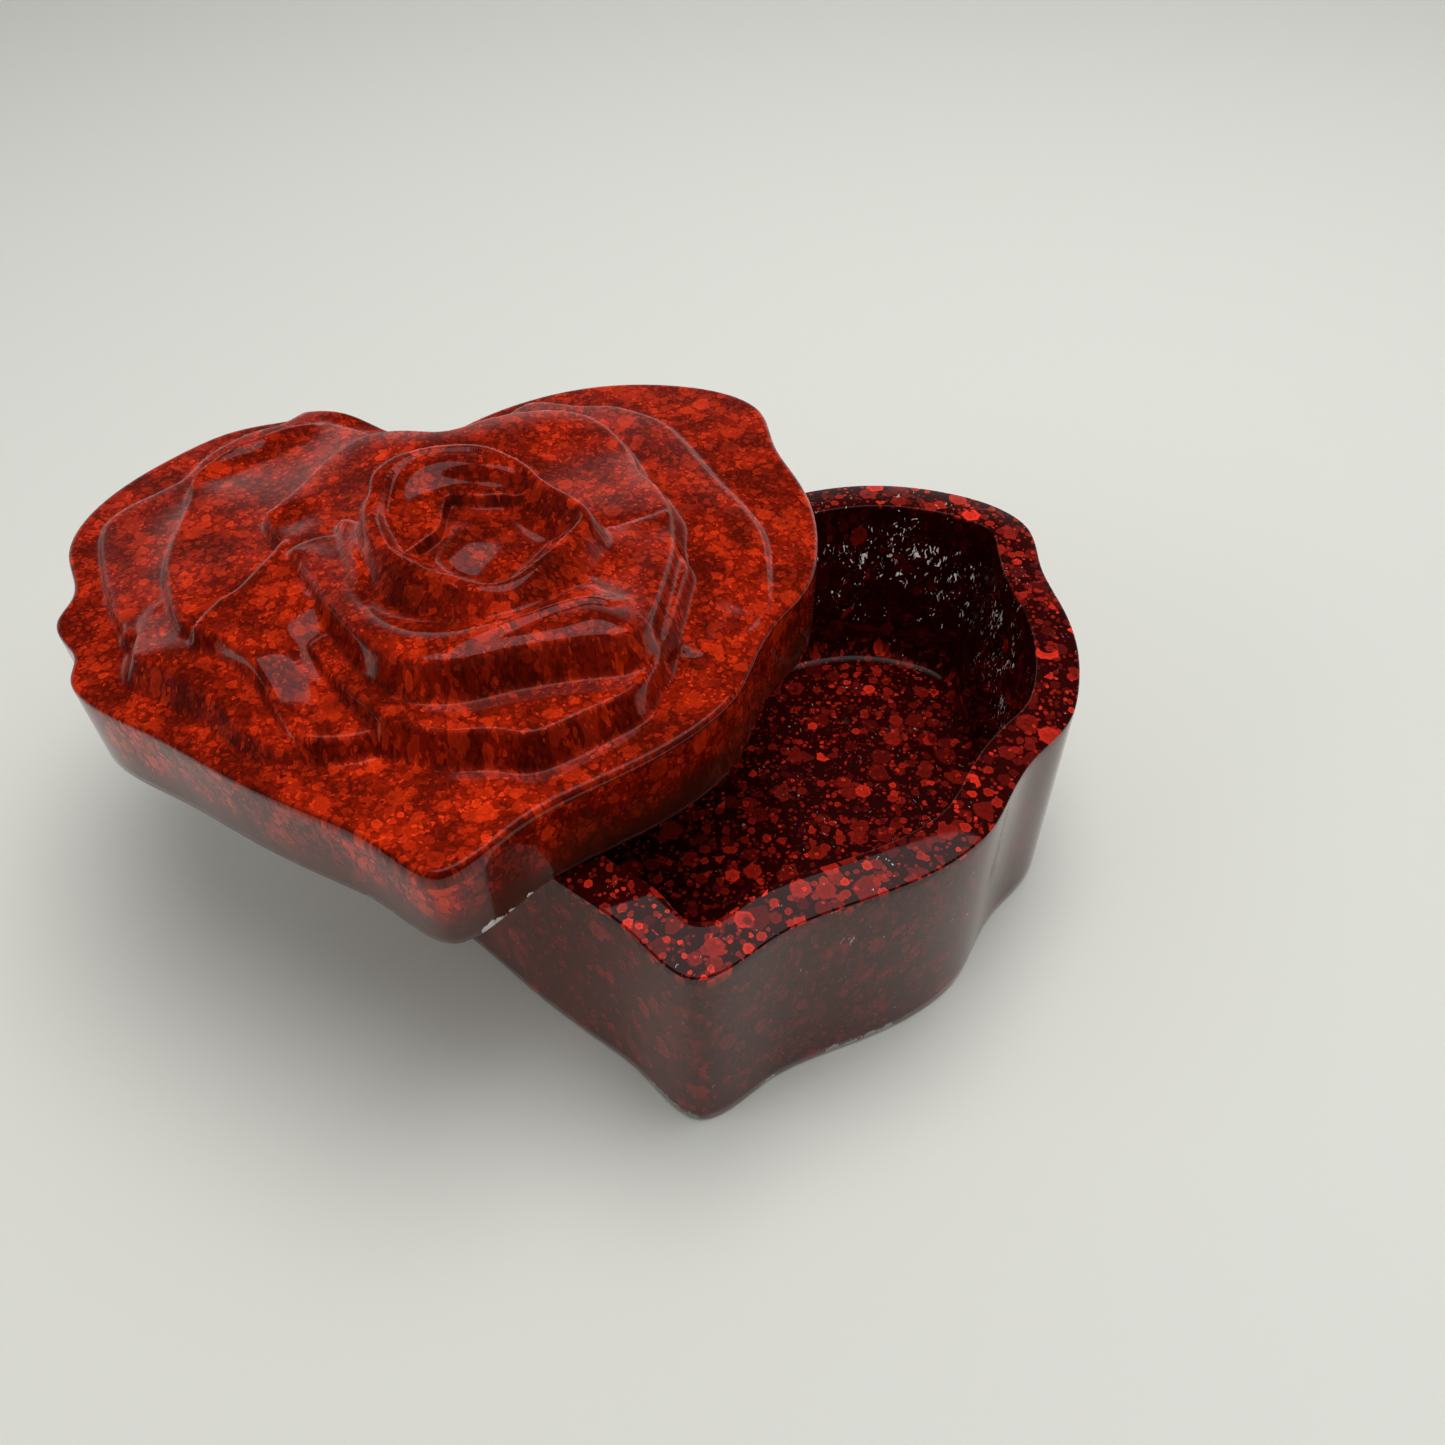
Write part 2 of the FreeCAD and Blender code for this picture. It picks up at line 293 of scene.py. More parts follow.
BOWL = [
    (-8.4, 4.0, 12.9), (-8.0, 7.4, 13.0), (-6.0, 13.6, 13.7), (-1.6, 17.2, 13.9), (4.2, 17.0, 13.9),
    (7.4, 16.2, 13.9), (11.8, 12.8, 13.7), (15.2, 7.6, 13.3), (17.4, 4.6, 13.0), (19.8, 2.0, 12.7),
    (21.2, -0.6, 12.5), (20.6, -2.4, 12.5), (18.6, -5.2, 12.6), (14.0, -10.6, 12.9), (9.6, -14.4, 13.1),
    (5.8, -14.6, 13.2), (1.8, -12.0, 13.2), (-0.8, -10.6, 13.2), (-4.8, -6.6, 13.1), (-6.6, -3.8, 13.0),
    (-7.6, -0.4, 12.9),
]
BUD_FOLD = [
    (-5.2, -2.4, 10.4), (-1.8, 0.0, 10.8), (0.0, 1.8, 11.0), (1.4, 8.4, 11.4), (3.6, 8.6, 11.4),
    (6.6, 7.8, 11.4), (9.6, 7.6, 11.4), (11.6, 6.8, 11.4), (14.2, 7.2, 11.8), (15.0, 10.0, 12.6),
    (12.0, 13.2, 13.4), (4.2, 17.2, 13.6), (-3.6, 16.8, 13.4), (-7.4, 12.0, 12.6), (-8.0, 4.6, 11.4),
    (-6.8, -0.6, 10.6),
]

# Step on the lip petal: what lies inside this line is lifted, by the third number well inside it
LIP_STEP = [
    (0.5, -26.0, 0.0), (3.7, -25.0, 0.3), (7.8, -23.4, 0.55), (12.0, -21.6, 0.6), (16.2, -19.8, 0.65),
    (20.5, -19.0, 0.65), (23.5, -19.6, 0.4), (27.0, -16.5, 0.0), (17.0, -8.0, 0.3), (5.0, -10.0, 0.3),
    (-4.0, -14.0, 0.1), (-2.2, -23.4, 0.0),
]
STEP_WIDTH = 1.5

# Rounded swellings on petals: across, along, height, radius
CURLED_BULGE = [(-23.0, -16.5, 0.4, 5.0)]
BACK_DIP = [(-22.6, 13.0, -0.6, 3.2)]
LIP_BULGE = [(21.5, -19.5, 0.5, 4.0)]

# Each petal: edge, swell inside it and its reach, steepness of its flank, softness of its edge, bulges
LOWER_PETALS = [
    (OUTER_LEFT, 0.1, 3.0, 2.0, 0.2, []),
    (OUTER_RIGHT, 0.6, 14.0, 1.6, 0.2, []),
    (LOW_LEFT, 0.1, 3.0, 1.35, 0.2, []),
    (LEFT, 0.0, 6.0, 2.0, 0.2, []),
    (CURLED, 0.0, 4.0, 1.9, 0.2, CURLED_BULGE),
    (FRONT, 0.0, 4.0, 2.2, 0.2, []),
    (BACK, 0.3, 5.0, 2.0, 0.2, BACK_DIP),
    (LIP, 0.0, 4.0, 1.9, 0.35, LIP_BULGE),
]
UPPER_PETALS = [
    (NARROW_FOLD, 0.2, 1.2, 2.0, 0.2, []),
    (BUD, 0.1, 2.0, 2.4, 0.2, []),
    (BUD_OVERLAP, 0.0, 2.0, 2.4, 0.2, []),
]

# How far a petal's flank reaches, out and down, and how softly forms meet
PETAL_FLANK = 6.0
FOOT_SOFTNESS = 0.2

# Bowl in the bud: depth, reach of its fall, slope outside it, middle, span, tilt, ridge and fold
BOWL_DEPTH = 4.4
BOWL_REACH = 6.0
BOWL_STEEP = 3.0
BOWL_MIDDLE = np.array([3.0, 2.0])
BOWL_SPAN = 24.0
BOWL_TILT = 0.10
BOWL_RIDGE = [(3.5, 1.0, 0.9, 4.0), (1.0, -3.0, 0.9, 3.6), (-1.0, -6.5, 0.8, 3.4)]
FOLD = (BUD_FOLD, 0.2, 4.0, 2.4, 0.2, [])

# Painted shade on the lid: where its colour is darkened, in the bud's bowl and on the bud's walls, and
# where a negative share brightens it instead, as towards the tip: across, along, share, radius
PAINTED_SHADE_PLACES = [
    (-5.0, -12.5, 0.45, 6.0), (5.0, 1.0, 0.25, 11.0), (15.0, -11.5, 0.4, 4.0), (-8.0, -46.0, -0.3, 20.0),
]

# Where the base's flakes crowd: across, along, height, radius
CROWDS = [
    (4.0, -48.0, 42.0, 14.0), (27.0, -38.0, 42.0, 10.0), (54.0, 26.0, 42.0, 8.0), (50.0, 42.0, 42.0, 9.0),
]

# Where the slab's upper edge is worn down most: across, along, how much more, radius
WORN_TIP = [(-6.0, -52.0, 2.0, 20.0)]

# How the rose is worked out: points at a time, spacing along edges, how heights hold to the nearest
BATCH = 4096
CURVE_STEP = 0.7
EDGE_HOLD = 0.15
TINY = 1e-9


class ResinSettings(bpy.types.PropertyGroup):
    """Colours and flake sizes of the two castings."""

    lid_gap: FloatVectorProperty(
        name="Lid Gaps", description="Colour of the lid's resin between its flakes",
        subtype="COLOR", size=3, min=0.0, max=1.0, default=(0.105, 0.0042, 0.0006))
    base_body: FloatVectorProperty(
        name="Base Resin", description="Colour of the base's resin between its flakes",
        subtype="COLOR", size=3, min=0.0, max=1.0, default=(0.022, 0.0010, 0.0008))
    flake_deep: FloatVectorProperty(
        name="Deep Flake", description="Colour of the flakes that lie deepest",
        subtype="COLOR", size=3, min=0.0, max=1.0, default=(0.22, 0.0075, 0.0010))
    flake_bright: FloatVectorProperty(
        name="Bright Flake", description="Colour of the flakes near the surface",
        subtype="COLOR", size=3, min=0.0, max=1.0, default=(0.86, 0.046, 0.006))
    flake_crimson: FloatVectorProperty(
        name="Base Flake", description="Colour of the base's brightest flakes",
        subtype="COLOR", size=3, min=0.0, max=1.0, default=(1.0, 0.040, 0.017))
    base_deep: FloatVectorProperty(
        name="Base Deep Flake", description="Colour of the base's flakes that lie deepest",
        subtype="COLOR", size=3, min=0.0, max=1.0, default=(0.075, 0.003, 0.0022))
    wall_mottle: FloatVectorProperty(
        name="Wall Mottle", description="Colour of the blurred flakes in the base's outer walls",
        subtype="COLOR", size=3, min=0.0, max=1.0, default=(0.24, 0.012, 0.008))
    wall_haze: FloatVectorProperty(
        name="Wall Haze", description="Colour of the base's outer walls between the blurred flakes",
        subtype="COLOR", size=3, min=0.0, max=1.0, default=(0.072, 0.011, 0.004))
    chip_colour: FloatVectorProperty(
        name="Chipped Edge", description="Colour of broken or scuffed resin",
        subtype="COLOR", size=3, min=0.0, max=1.0, default=(0.84, 0.79, 0.75))
    large_flake: FloatProperty(
        name="Large Flake", description="Spacing of the largest flakes",
        unit="LENGTH", min=0.001, max=0.02, default=4.6 * MM)
    middle_flake: FloatProperty(
        name="Middle Flake", description="Spacing of the middle flakes",
        unit="LENGTH", min=0.0005, max=0.01, default=2.2 * MM)
    small_flake: FloatProperty(
        name="Small Flake", description="Spacing of the smallest flakes",
        unit="LENGTH", min=0.0002, max=0.005, default=0.95 * MM)


class CastingSettings(bpy.types.PropertyGroup):
    """Sizes of the two castings and how finely they are meshed."""

    lid_segments: IntProperty(
        name="Lid Segments", description="Corners round each ring of the lid",
        min=64, max=640, default=560)
    lid_rings: IntProperty(
        name="Lid Rings", description="Rings from the bud to the lid's edge",
        min=32, max=170, default=146)
    base_segments: IntProperty(
        name="Base Segments", description="Corners round each ring of the base",
        min=64, max=640, default=512)
    slab_thickness: FloatProperty(
        name="Slab Thickness", description="Height of the lid's slab under the rose",
        unit="LENGTH", min=0.005, max=0.05, default=16.0 * MM)
    edge_round: FloatProperty(
        name="Lid Edge", description="Rounding of the slab's upper edge",
        unit="LENGTH", min=0.0, max=0.005, default=0.9 * MM)
    rim_round: FloatProperty(
        name="Rim Edge", description="Rounding of the base's rim",
        unit="LENGTH", min=0.0, max=0.003, default=0.4 * MM)
    rim_fall: FloatProperty(
        name="Rim Fall", description="How much lower the rim is at its outer edge",
        unit="LENGTH", min=0.0, max=0.002, default=0.36 * MM)
    seat_gap: FloatProperty(
        name="Seat Gap", description="How far the rim stays clear of the lid's underside",
        unit="LENGTH", min=0.0, max=0.001, default=0.1 * MM)
    floor_height: FloatProperty(
        name="Floor Height", description="Top of the base's floor",
        unit="LENGTH", min=0.0, max=0.03, default=7.0 * MM)
    floor_round: FloatProperty(
        name="Floor Corner", description="Rounding where the floor meets the wall",
        unit="LENGTH", min=0.0, max=0.01, default=3.0 * MM)
    ripple: FloatProperty(
        name="Wall Ripple", description="Unevenness of the cavity's wall",
        unit="LENGTH", min=0.0, max=0.002, default=0.22 * MM)


class StageSettings(bpy.types.PropertyGroup):
    """Floor, lamps and camera."""

    floor_colour: FloatVectorProperty(
        name="Floor", description="Colour of the floor",
        subtype="COLOR", size=3, min=0.0, max=1.0, default=(0.80, 0.805, 0.755))
    lamp_power: FloatProperty(
        name="Lamp", description="Power of each square metre of the lamp's discs",
        unit="POWER", min=0.0, default=3.5)
    panel_power: FloatProperty(
        name="Panel", description="Power of the wide panel that isn't mirrored",
        unit="POWER", min=0.0, default=1.5)
    fill_power: FloatProperty(
        name="Fill", description="Power of the low light on the left",
        unit="POWER", min=0.0, default=1.4)
    lamp_place: FloatVectorProperty(
        name="Lamp Place", description="Where the lamp hangs",
        subtype="TRANSLATION", unit="LENGTH", size=3, default=(0.08, 0.135, 0.70))
    panel_place: FloatVectorProperty(
        name="Panel Place", description="Where the wide panel hangs",
        subtype="TRANSLATION", unit="LENGTH", size=3, default=(0.24, 0.04, 0.60))
    fill_place: FloatVectorProperty(
        name="Fill Place", description="Where the low light stands",
        subtype="TRANSLATION", unit="LENGTH", size=3, default=(-0.65, -0.25, 0.22))
    room_light: FloatProperty(
        name="Room", description="Brightness of the dim room above the backdrop",
        min=0.0, max=1.0, default=0.03)
    backdrop_light: FloatProperty(
        name="Backdrop", description="Brightness of the pale sweep behind the stage",
        min=0.0, max=1.0, default=0.7)
    front_light: FloatProperty(
        name="Front", description="Brightness of the sweep on the camera's side",
        min=0.0, max=1.0, default=0.06)
    soft_light: FloatProperty(
        name="Soft Light", description="Even light from all round that isn't mirrored",
        min=0.0, max=1.0, default=0.17)
    camera_place: FloatVectorProperty(
        name="Camera", description="Where the camera stands",
        subtype="TRANSLATION", unit="LENGTH", size=3, default=(0.0004, -0.1354, 0.1804))
    camera_pitch: FloatProperty(
        name="Camera Pitch", description="How far the camera looks down",
        subtype="ANGLE", default=math.radians(47.47))
    camera_roll: FloatProperty(
        name="Camera Roll", description="How far the camera leans",
        subtype="ANGLE", default=math.radians(-0.28))
    lens: FloatProperty(
        name="Lens", description="Focal length on a 36 mm frame",
        subtype="DISTANCE_CAMERA", default=29.88)


class Shade:
    """A shader socket: arithmetic on it adds Math nodes, and node() adds any other node."""

    def __init__(self, tree, socket=None):
        self.tree = tree
        self.socket = socket

    def node(self, kind, settings=None, inputs=None, output=0):
        """Add a node, set it up, feed its sockets and wrap one of its outputs."""
        made = self.tree.nodes.new(kind)
        for name, value in (settings or {}).items():
            setattr(made, name, value)
        for name, value in (inputs or {}).items():
            if isinstance(value, Shade):
                self.tree.links.new(value.socket, made.inputs[name])
            else:
                made.inputs[name].default_value = value
        return Shade(self.tree, made.outputs[output]) if made.outputs else None

    def out(self, output):
        """Another output of the same node."""
        return Shade(self.tree, self.socket.node.outputs[output])

    def math(self, operation, *values):
        """A Math node on numbers or sockets."""
        return self.node("ShaderNodeMath", {"operation": operation}, dict(enumerate(values)))

    def vector(self, operation, *values):
        """A Vector Math node."""
        return self.node("ShaderNodeVectorMath", {"operation": operation}, dict(enumerate(values)))

    def colour_mix(self, factor, first, second):
        """Two colours mixed."""
        return self.node("ShaderNodeMix", {"data_type": "RGBA"}, {0: factor, 6: first, 7: second}, 2)

    def vector_mix(self, factor, first, second):
        """Two vectors mixed."""
        return self.node("ShaderNodeMix", {"data_type": "VECTOR"}, {0: factor, 4: first, 5: second}, 1)

    def step(self, low, high):
        """A smooth step from 0 at low to 1 at high."""
        settings = {"interpolation_type": "SMOOTHSTEP"}
        return self.node("ShaderNodeMapRange", settings, {0: self, 1: low, 2: high, 3: 0.0, 4: 1.0})

    def ranged(self, gain, lift):
        """Multiplied by a gain and lifted."""
        return self * gain + lift

    def __add__(self, other):
        return self.math("ADD", self, other)

    def __radd__(self, other):
        return self.math("ADD", other, self)

    def __sub__(self, other):
        return self.math("SUBTRACT", self, other)

    def __rsub__(self, other):
        return self.math("SUBTRACT", other, self)

    def __mul__(self, other):
        return self.math("MULTIPLY", self, other)

    def __rmul__(self, other):
        return self.math("MULTIPLY", other, self)

    def __lt__(self, other):
        return self.math("LESS_THAN", self, other)

    def __gt__(self, other):
        return self.math("GREATER_THAN", self, other)


def opaque(colour):
    """A colour with full alpha."""
    return (*colour, 1.0)


def noise_at(surface, size, detail, output=0):
    """Soft noise whose blotches are about a given size."""
    return surface.node(
        "ShaderNodeTexNoise", {"noise_dimensions": "2D"},
        {"Vector": surface, "Scale": 1.0 / size, "Detail": detail, "Roughness": NOISE_ROUGHNESS}, output)


def ragged(surface, size, push):
    """The surface's map pushed about, so that what is drawn on it gets an uneven edge."""
    pushed = surface.vector("SUBTRACT", noise_at(surface, size, RAG_DETAIL, "Color"), MID_CHANCE)
    pushed = surface.vector("MULTIPLY", pushed, (push, push, 0.0))
    return surface.vector("ADD", surface, pushed)


def flakes(surface, size, smallest, largest, share, shift, crisp):
    """Six-sided flakes strewn over a surface: mask, chance number, chance vector and rims."""
    moved = surface.vector("ADD", surface, (shift, SHIFT_SLANT * shift, 0.0))
    cells = moved.node(
        "ShaderNodeTexVoronoi", {"voronoi_dimensions": "2D"}, {"Vector": moved, "Scale": 1.0 / size})
    chance = cells.node("ShaderNodeSeparateColor", inputs={0: cells.out("Color")})
    away = moved.vector("SUBTRACT", moved, cells.out("Position"))
    turned = away.node(
        "ShaderNodeVectorRotate", {"rotation_type": "Z_AXIS"}, {"Vector": away, "Angle": chance * math.tau})
    sides = turned.vector("ABSOLUTE", turned)
    parts = sides.node("ShaderNodeSeparateXYZ", inputs={0: sides})
    slant = parts * FLAKE_SLANT[0] + parts.out(1) * FLAKE_SLANT[1]
    reach = parts.math("MAXIMUM", parts, slant)
    radius = chance.out(1).ranged(size * (largest - smallest), size * smallest)
    span = reach.math("DIVIDE", reach, radius)
    mask = span.step(1.0, crisp) * (chance.out(2) < share)
    draw = cells.node(
        "ShaderNodeTexWhiteNoise", {"noise_dimensions": "2D"}, {"Vector": cells.out("Position")})
    return mask, draw, draw.out("Color"), span.step(*FLAKE_RIM)


def new_material(name):
    """An empty node material and a handle on its nodes."""
    material = bpy.data.materials.new(name)
    material.use_nodes = True
    material.node_tree.nodes.clear()
    return material, Shade(material.node_tree)


def finish_resin(shade, colour, metal, normal, coat_roughness, coat_ior):
    """The clear glossy resin over what lies in it."""
    surface = shade.node("ShaderNodeBsdfPrincipled", None, {
        "Base Color": colour, "Metallic": metal, "Roughness": BODY_ROUGHNESS, "Normal": normal,
        "Specular IOR Level": 0.0,
        "Coat Weight": 1.0, "Coat Roughness": coat_roughness, "Coat IOR": coat_ior})
    shade.node("ShaderNodeOutputMaterial", None, {"Surface": surface})


def strewn(shade, surface, deep, bright, ground, layers, tilt, crisp, favour):
    """Colour, metal share and leaning normal of a ground with layers of flakes on it, deepest first."""
    colour = ground
    metal = 0.0
    lean = MID_CHANCE
    for size, smallest, largest, share, shift, dimmest, brightest in layers:
        mask, tone, chance, rim = flakes(surface, size, smallest, largest, share, shift, crisp)
        tone = tone.math("POWER", tone, favour)
        spread = tone.ranged(brightest - dimmest, dimmest) * rim.ranged(RIM_LIGHT, 1.0 - RIM_LIGHT)
        flake = shade.colour_mix(spread, opaque(deep), opaque(bright))
        colour = shade.colour_mix(mask, colour, flake)
        metal = shade.math("MAXIMUM", mask * FLAKE_METAL, metal)
        lean = shade.vector_mix(mask, lean, chance)
    off = shade.vector("SUBTRACT", lean, MID_CHANCE)
    off = shade.vector("MULTIPLY", off, (tilt, tilt, tilt))
    facing = shade.node("ShaderNodeNewGeometry", None, None, "Normal")
    leaning = shade.vector("NORMALIZE", shade.vector("ADD", facing, off))
    return colour, metal, leaning


def painted(shade, mark):
    """A value kept at the piece's corners."""
    return shade.node("ShaderNodeAttribute", {"attribute_name": mark}, None, "Fac")


def chipped(shade, surface):
    """Where the resin is broken: ragged patches round the painted chips."""
    return (painted(shade, "chip") + noise_at(surface, *CHIP_NOISE) - 0.5).step(*CHIP_SPAN)


def upturned(shade, normal):
    """A normal turned up towards the lamps."""
    return shade.vector("NORMALIZE", shade.vector("ADD", normal, CHIP_TURN))


def lid_material(resin):
    """Dense red flakes over a fine red grain, thinning out down the lid's sides, with painted shade on the
    rose's steep flanks and in the bud's bowl and walls.
    """
    material, shade = new_material("lid_glitter_resin")
    surface = shade.node("ShaderNodeUVMap", {"uv_map": "surface"})
    rough_map = surface
    for size, push in LID_RAGS:
        rough_map = ragged(rough_map, size, push)
    patch = noise_at(surface, *PATCH_NOISE).step(*PATCH_SPAN)
    grain = (noise_at(surface, *GRAIN_NOISE) + (patch - 0.5) * GRAIN_BY_PATCH).step(*GRAIN_SPAN)
    ground = shade.colour_mix(grain, opaque(resin.lid_gap), opaque(resin.flake_deep))
    small, middle, large = resin.small_flake, resin.middle_flake, resin.large_flake
    # Spacing, smallest and largest radius, share, shift, dimmest and brightest of each layer
    layers = [
        (small * 0.9, 0.25, 0.60, 0.60, 0.000, -0.15, 0.40),
        (small * 1.6, 0.20, 0.55, 0.45, 0.031, -0.10, 0.55),
        (middle, 0.22, 0.55, patch.ranged(0.35, 0.15), 0.013, 0.00, 0.60),
        (large, 0.16, 0.44, patch.ranged(0.40, 0.10), 0.047, 0.10, 0.60),
        (middle, 0.12, 0.40, patch.ranged(0.35, 0.05), 0.071, 0.15, 0.76),
        (small * 0.7, 0.20, 0.50, patch.ranged(0.25, 0.05), 0.059, 0.20, 0.88),
    ]
    colour, metal, leaning = strewn(
        shade, rough_map, resin.flake_deep, resin.flake_bright, ground, layers, *LID_FLAKES)
    fleck = noise_at(rough_map, *FLECK_NOISE) + (0.5 - patch) * FLECK_BY_PATCH
    dark = fleck.step(*FLECK_SPAN) * FLECK_DARK
    colour = shade.colour_mix(dark, colour, opaque(resin.lid_gap))
    cloud = noise_at(surface, *CLOUD_NOISE).ranged(*CLOUD_RANGE) * patch.ranged(*CLOUD_BY_PATCH)
    colour = shade.vector("MULTIPLY", colour, cloud)
    # Painted shade: the colour is darkened in the bud's bowl and on its walls, and brightened towards the
    # tip
    colour = shade.vector("MULTIPLY", colour, 1.0 - painted(shade, "sparse"))
    depth = painted(shade, "depth")
    # Painted shade: the rose's steep flanks are darkened
    facing = shade.node("ShaderNodeNewGeometry", None, None, "Normal")
    upward = shade.node("ShaderNodeSeparateXYZ", None, {0: facing}, "Z")
    flank_shade = upward.step(*FLANK_FACING) * depth.step(*FLANK_DEPTH)
    colour = shade.vector("MULTIPLY", colour, 1.0 - flank_shade * FLANK_PAINTED_SHADE)
    bare = (depth + noise_at(surface, *BARE_NOISE) * BARE_UNEVEN).step(*BARE_SPAN)
    colour = shade.colour_mix(bare, colour, opaque(resin.wall_haze))
    chip = chipped(shade, surface)
    colour = shade.colour_mix(chip, colour, opaque(resin.chip_colour))
    metal = shade.math("MAXIMUM", metal * (1.0 - bare), chip)
    normal = shade.vector_mix(chip, leaning, upturned(shade, leaning))
    finish_resin(shade, colour, metal, normal, *LID_COAT)
    return material


def base_material(resin):
    """Dark resin with scattered flakes, blurred in the outer walls, and scuffs; the cavity's wall carries
    painted shade that darkens its flakes towards the bare resin.
    """
    material, shade = new_material("base_glitter_resin")
    surface = shade.node("ShaderNodeUVMap", {"uv_map": "surface"})
    rough_map = ragged(surface, *BASE_RAG)
    crowd = noise_at(surface, *CROWD_NOISE).step(*CROWD_SPAN) + painted(shade, "crowd")
    small, middle, large = resin.small_flake, resin.middle_flake, resin.large_flake
    # Spacing, smallest and largest radius, share, shift, dimmest and brightest of each layer
    layers = [
        (large, 0.20, 0.50, 0.45, 0.107, 0.00, 0.25),
        (small, 0.15, 0.45, 0.40, 0.000, 0.00, 0.40),
        (middle, 0.15, 0.45, 0.45, 0.013, 0.00, 0.45),
        (large, 0.14, 0.40, crowd.ranged(0.28, 0.06), 0.047, 0.05, 1.00),
        (middle, 0.12, 0.42, crowd.ranged(0.25, 0.05), 0.083, 0.10, 1.00),
        (small, 0.15, 0.42, 0.14, 0.059, 0.20, 1.00),
    ]
    body = opaque(resin.base_body)
    colour, metal, leaning = strewn(
        shade, rough_map, resin.base_deep, resin.flake_crimson, body, layers, *BASE_FLAKES)
    outside = painted(shade, "outside") * OUTSIDE_VEIL
    # Painted shade: the cavity's wall is darkened unevenly towards the bare resin and its flakes lose their
    # metal
    cavity_shade_spread = noise_at(surface, *CAVITY_SHADE_NOISE).step(*CAVITY_SHADE_SPAN).ranged(*CAVITY_SHADE_RANGE)
    inside = painted(shade, "inside") * cavity_shade_spread
    mottle = noise_at(ragged(surface, *MOTTLE_RAG), *MOTTLE_NOISE).step(*MOTTLE_SPAN)
    wall = shade.colour_mix(mottle, opaque(resin.wall_haze), opaque(resin.wall_mottle))
    colour = shade.colour_mix(outside, colour, wall)
    colour = shade.colour_mix(inside, colour, body)
    colour = shade.vector("MULTIPLY", colour, noise_at(surface, *DUST_NOISE).ranged(*DUST_RANGE))
    strokes = shade.vector("MULTIPLY", ragged(surface, *STROKE_RAG), STROKE_SHAPE)
    cluster = noise_at(surface, *CLUSTER_NOISE).step(*CLUSTER_SPAN) * CLUSTER_LIFT
    scuff = noise_at(strokes, *STROKE_NOISE) + cluster + painted(shade, "scuff") * SCUFF_LIFT
    scuff = (scuff - outside * OUTSIDE_DROP).step(*SCUFF_SPAN)
    broken = shade.math("MAXIMUM", chipped(shade, surface), scuff)
    colour = shade.colour_mix(broken, colour, opaque(resin.chip_colour))
    metal = shade.math("MAXIMUM", metal * (1.0 - inside) * (1.0 - outside), broken)
    normal = shade.vector_mix(broken, leaning, upturned(shade, leaning))
    finish_resin(shade, colour, metal, normal, *BASE_COAT)
    return material


def closed_curve(points):
    """A smooth closed line through points, sampled closely; further values of a point go along."""
    knots = np.array(points, dtype=float)
    before = np.roll(knots, 1, 0)
    after = np.roll(knots, -1, 0)
    beyond = np.roll(knots, -2, 0)
    line = []
    for first, start, end, last in zip(before, knots, after, beyond):
        count = max(2, int(np.hypot(*(end - start)[:2]) / CURVE_STEP))
        for share in np.arange(count) / count:
            line.append(0.5 * (
                2 * start + (end - first) * share
                + (2 * first - 5 * start + 4 * end - last) * share ** 2
                + (3 * start - first - 3 * end + last) * share ** 3))
    return np.array(line)


def inside_edge(plan, line):
    """How far plan points lie inside a closed line, and its values, those of near places counting most."""
    after = np.roll(line, -1, 0)
    run_x, run_y = (after - line)[:, :2].T
    spans = run_x ** 2 + run_y ** 2
    lean = run_x / np.where(run_y == 0, TINY, run_y)
    depth = np.empty(len(plan))
    values = np.empty((len(plan), line.shape[1] - 2))
    for low in range(0, len(plan), BATCH):
        part = plan[low:low + BATCH]
        away_x = part[:, :1] - line[:, 0]
        away_y = part[:, 1:] - line[:, 1]
        share = np.clip((away_x * run_x + away_y * run_y) / spans, 0.0, 1.0)
        gap = (away_x - share * run_x) ** 2 + (away_y - share * run_y) ** 2
        weight = np.sqrt(spans) / (gap + EDGE_HOLD) ** 2
        values[low:low + BATCH] = weight @ line[:, 2:] / weight.sum(1)[:, None]
        passes = (away_y < 0) != (part[:, 1:] < after[:, 1])
        odd = (passes & (away_x < away_y * lean)).sum(1) % 2
        depth[low:low + BATCH] = np.sqrt(gap.min(1)) * np.where(odd == 1, 1, -1)
    return depth, values


def soft_max(first, second, soft):
    """The higher of two heights, eased where they meet."""
    return 0.5 * (first + second + np.sqrt((first - second) ** 2 + soft ** 2))


def soft_min(first, second, soft):
    """The lower of two heights, eased where they meet."""
    return -soft_max(-first, -second, soft)


def bumps(plan, places):
    """Sum of rounded bumps over plan points."""
    height = np.zeros(len(plan))
    for across, along, rise, radius in places:
        height += rise * np.exp(-((plan[:, 0] - across) ** 2 + (plan[:, 1] - along) ** 2) / radius ** 2)
    return height


def petal_height(plan, edge, swell, reach, steep, soft, bulges):
    """Height of one petal over plan points, and far below the slab well away from the petal."""
    own = (swell, steep)
    line = closed_curve([(*point, *own[len(point) - 3:]) for point in edge])
    low = line[:, :2].min(0) - PETAL_FLANK
    high = line[:, :2].max(0) + PETAL_FLANK
    near = ((plan > low) & (plan < high)).all(1)
    depth, values = inside_edge(plan[near], line)
    rise, crown, slope = values.T
    short = np.clip(1 - depth / reach, 0, 1)
    top = rise + crown * (1 - short ** 2) + bumps(plan[near], bulges)
    height = np.full(len(plan), -PETAL_FLANK)
    height[near] = np.maximum(soft_min(top, rise + slope * depth, soft), -PETAL_FLANK)
    return height


def stepped(plan, height, line, width):
    """Heights lifted by a soft step inside a closed line."""
    depth, values = inside_edge(plan, closed_curve(line))
    share = np.clip(depth / width, 0, 1)
    return height + values[:, 0] * share ** 2 * (3 - 2 * share)


